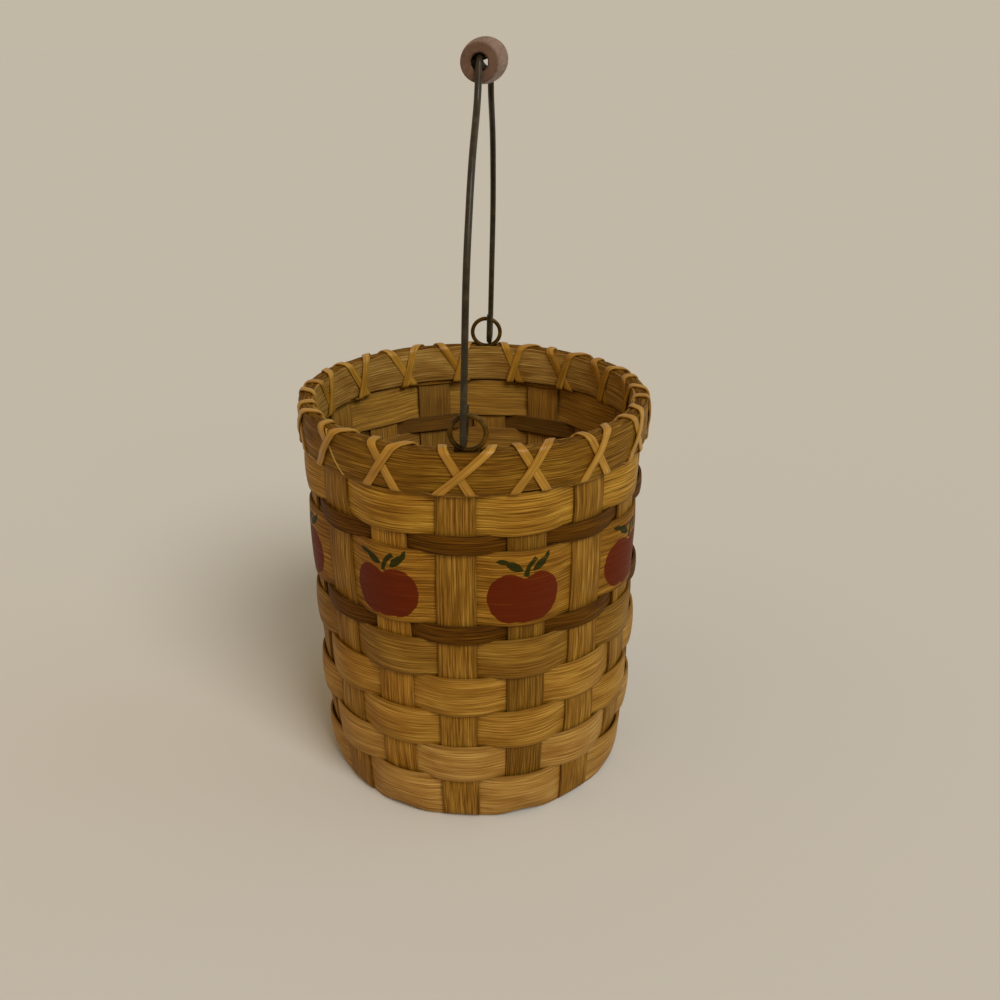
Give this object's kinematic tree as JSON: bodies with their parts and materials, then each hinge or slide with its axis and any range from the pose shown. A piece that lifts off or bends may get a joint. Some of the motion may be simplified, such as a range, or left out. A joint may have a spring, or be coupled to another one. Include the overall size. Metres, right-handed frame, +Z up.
{
  "type": "apple basket",
  "caption": "Round woven reed basket with painted apples, a lashed rim, wire ears and a swinging wire bail with a turned wooden grip.",
  "frame": {"origin": "on the floor, under the centre of the basket", "axes": "+Z up; the front ear is at -Y; the bail stands up nearly in the YZ plane, leaning 1.65 degrees to +X, and swings about a level axis turned 1.25 degrees from +Y, as its hooks lie in the eyes in the picture"},
  "size_m": [0.1522, 0.1526, 0.3142],
  "materials": {
    "stake_reed": "oiled flat reed, slightly darker, grain along the strip",
    "base_reed": "oiled narrow flat reed",
    "light_reed": "oiled honey-coloured flat reed with fine dark grain",
    "brown_reed": "brown-stained narrow flat reed",
    "painted_splint": "wide splint with stencilled red apples and green leaves",
    "rim_reed": "oiled flat reed, darker than the wall",
    "rim_filler": "rough fibrous strip",
    "lashing_cane": "smooth golden cane",
    "iron_wire": "dark oxidised iron wire",
    "grip_wood": "turned reddish-brown hardwood, worn satin"
  },
  "bodies": {
    "basket": {"stake_1": "stake_reed", "stake_2": "stake_reed", "stake_3": "stake_reed", "stake_4": "stake_reed", "stake_5": "stake_reed", "stake_6": "stake_reed", "stake_7": "stake_reed", "stake_8": "stake_reed", "base_round_1": "base_reed", "base_round_2": "base_reed", "base_round_3": "base_reed", "base_round_4": "base_reed", "base_round_5": "base_reed", "base_round_6": "base_reed", "weaver_row_1": "light_reed", "weaver_row_2": "light_reed", "weaver_row_3": "light_reed", "weaver_row_4": "light_reed", "weaver_row_5": "light_reed", "lower_brown_weaver": "brown_reed", "apple_band": "painted_splint", "upper_brown_weaver": "brown_reed", "top_row_weaver": "light_reed", "rim_row": "light_reed", "outer_rim_band": "rim_reed", "inner_rim_band": "rim_reed", "rim_filler_left": "rim_filler", "rim_filler_right": "rim_filler", "first_lashing": "lashing_cane", "second_lashing": "lashing_cane", "front_ear": "iron_wire", "rear_ear": "iron_wire"},
    "bail": {"bail_wire": "iron_wire"},
    "grip": {"grip": "grip_wood"}
  },
  "joints": [
    {"name": "bail_swing", "type": "hinge", "parent": "basket", "child": "bail", "pos_m": [0.002, 0, 0.1772], "axis": [0.0218, 0.9998, 0], "range_deg": [-91.65, 88.35]},
    {"name": "grip_spin", "type": "hinge", "parent": "bail", "child": "grip", "pos_m": [0.00571, -0.00008, 0.3059], "axis": [0.0218, 0.9998, 0], "continuous": true}
  ]
}
